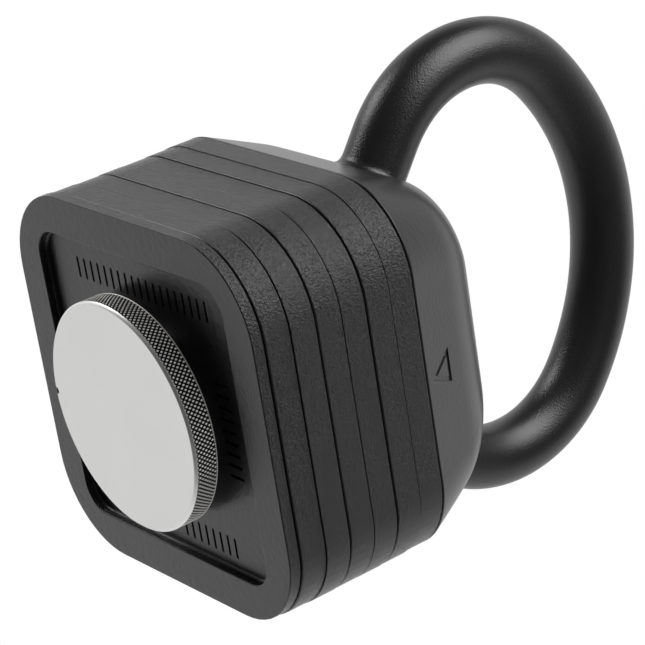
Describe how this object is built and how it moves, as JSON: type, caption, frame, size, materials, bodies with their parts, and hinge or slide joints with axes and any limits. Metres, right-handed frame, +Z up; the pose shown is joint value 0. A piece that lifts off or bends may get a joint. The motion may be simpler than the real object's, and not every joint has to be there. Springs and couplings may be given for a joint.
{
  "type": "adjustable kettlebell",
  "caption": "Adjustable kettlebell: a domed square head with a bent bar handle, square plates nested under it, and a knurled lock knob on a screw through the stack.",
  "frame": {"origin": "centre of the lock knob's flat face, on the floor that the kettlebell stands on", "axes": "+Z up through the plates to the top of the handle; the handle loop lies in the XZ plane, so +Y is square to the loop"},
  "size_m": [0.2172, 0.165, 0.2826],
  "materials": {
    "head_coat": "smooth satin black powder coat",
    "handle_coat": "satin black coat with a slight orange peel",
    "plate_coat": "fine pebbled black enamel",
    "knob_steel": "turned face, diamond knurled rim",
    "screw_steel": "machined, lightly oiled",
    "ring_rubber": "matt black"
  },
  "bodies": {
    "head": {"head_casting": "head_coat", "handle_loop": "handle_coat", "handle_weld_left": "handle_coat", "handle_weld_right": "handle_coat", "thread_insert": "screw_steel"},
    "plate_1_body": {"plate_1": "plate_coat"},
    "plate_2_body": {"plate_2": "plate_coat"},
    "plate_3_body": {"plate_3": "plate_coat"},
    "plate_4_body": {"plate_4": "plate_coat"},
    "plate_5_body": {"plate_5": "plate_coat"},
    "plate_6_body": {"plate_6": "plate_coat"},
    "front_plate_body": {"front_plate": "plate_coat"},
    "ring_body": {"friction_ring": "ring_rubber"},
    "lock": {"lock_knob": "knob_steel", "lock_screw": "screw_steel", "knob_pin": "screw_steel"}
  },
  "joints": [
    {"name": "lock_travel", "type": "slide", "parent": "head", "child": "ring_body", "axis": [0, 0, -1], "range_m": [0, 0.03]},
    {"name": "lock_turn", "type": "hinge", "parent": "ring_body", "child": "lock", "pos_m": [0, 0, 0.01], "axis": [0, 0, -1], "range_deg": [0, 2160]},
    {"name": "plate_1_slide", "type": "slide", "parent": "head", "child": "plate_1_body", "axis": [0, 0, -1], "range_m": [0, 0.00375]},
    {"name": "plate_2_slide", "type": "slide", "parent": "head", "child": "plate_2_body", "axis": [0, 0, -1], "range_m": [0, 0.0075]},
    {"name": "plate_3_slide", "type": "slide", "parent": "head", "child": "plate_3_body", "axis": [0, 0, -1], "range_m": [0, 0.01125]},
    {"name": "plate_4_slide", "type": "slide", "parent": "head", "child": "plate_4_body", "axis": [0, 0, -1], "range_m": [0, 0.015]},
    {"name": "plate_5_slide", "type": "slide", "parent": "head", "child": "plate_5_body", "axis": [0, 0, -1], "range_m": [0, 0.01875]},
    {"name": "plate_6_slide", "type": "slide", "parent": "head", "child": "plate_6_body", "axis": [0, 0, -1], "range_m": [0, 0.0225]},
    {"name": "front_plate_slide", "type": "slide", "parent": "head", "child": "front_plate_body", "axis": [0, 0, -1], "range_m": [0, 0.02625]}
  ],
  "couplings": [
    {"joint": "lock_travel", "follows": "lock_turn", "m_per_rad": 0.00079577},
    {"joint": "plate_1_slide", "follows": "lock_turn", "m_per_rad": 0.000099472},
    {"joint": "plate_2_slide", "follows": "lock_turn", "m_per_rad": 0.00019894},
    {"joint": "plate_3_slide", "follows": "lock_turn", "m_per_rad": 0.00029842},
    {"joint": "plate_4_slide", "follows": "lock_turn", "m_per_rad": 0.00039789},
    {"joint": "plate_5_slide", "follows": "lock_turn", "m_per_rad": 0.00049736},
    {"joint": "plate_6_slide", "follows": "lock_turn", "m_per_rad": 0.00059683},
    {"joint": "front_plate_slide", "follows": "lock_turn", "m_per_rad": 0.0006963}
  ]
}
